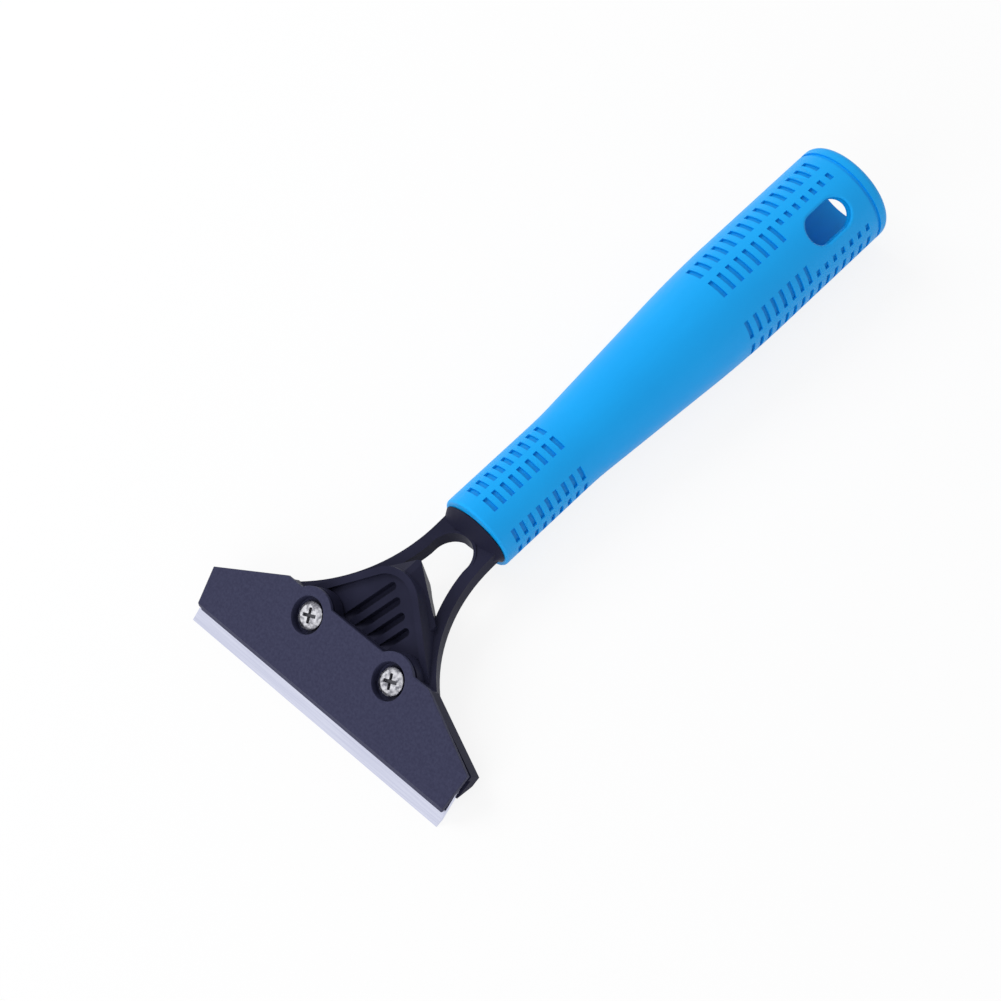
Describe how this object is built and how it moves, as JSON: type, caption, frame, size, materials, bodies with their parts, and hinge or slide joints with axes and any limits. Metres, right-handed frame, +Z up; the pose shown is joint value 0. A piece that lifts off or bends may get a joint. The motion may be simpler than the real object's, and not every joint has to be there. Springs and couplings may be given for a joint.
{
  "type": "ceramic hob scraper",
  "caption": "Hand scraper for glass-ceramic hobs with a hollow blue grip, a black head and a wide steel blade held under a screwed clamp plate.",
  "frame": {"origin": "centre of the bounding box in plan, on the surface that the tool lies on", "axes": "+X along the blade to the right, +Y from the blade to the tail of the handle, +Z up"},
  "size_m": [0.1028, 0.2197, 0.0331],
  "materials": {
    "blue_plastic": "satin",
    "black_plastic": "matte",
    "black_satin_plastic": "satin",
    "blade_steel": "brushed",
    "zinc_steel": "satin"
  },
  "bodies": {
    "frame": {"head_frame": "black_plastic", "handle": "blue_plastic", "left_nut": "zinc_steel", "right_nut": "zinc_steel"},
    "clamp": {"clamp_plate": "black_satin_plastic"},
    "left_fastener": {"left_screw": "zinc_steel"},
    "right_fastener": {"right_screw": "zinc_steel"},
    "cutter": {"blade": "blade_steel"}
  },
  "joints": [
    {"name": "clamp_lift", "type": "slide", "parent": "frame", "child": "clamp", "axis": [0, -0.5476, 0.8367], "range_m": [0, 0.0021]},
    {"name": "left_screw_turn", "type": "hinge", "parent": "clamp", "child": "left_fastener", "pos_m": [-0.0163, -0.09048, 0.01181], "axis": [0, -0.5476, 0.8367], "range_deg": [0, 1081]},
    {"name": "right_screw_turn", "type": "hinge", "parent": "clamp", "child": "right_fastener", "pos_m": [0.0163, -0.09048, 0.01181], "axis": [0, -0.5476, 0.8367], "range_deg": [0, 1081]},
    {"name": "blade_slide", "type": "slide", "parent": "frame", "child": "cutter", "axis": [1, 0, 0], "range_m": [0, 0.03]}
  ],
  "couplings": [
    {"joint": "left_screw_turn", "follows": "clamp_lift", "rad_per_m": 8976},
    {"joint": "right_screw_turn", "follows": "clamp_lift", "rad_per_m": 8976}
  ]
}
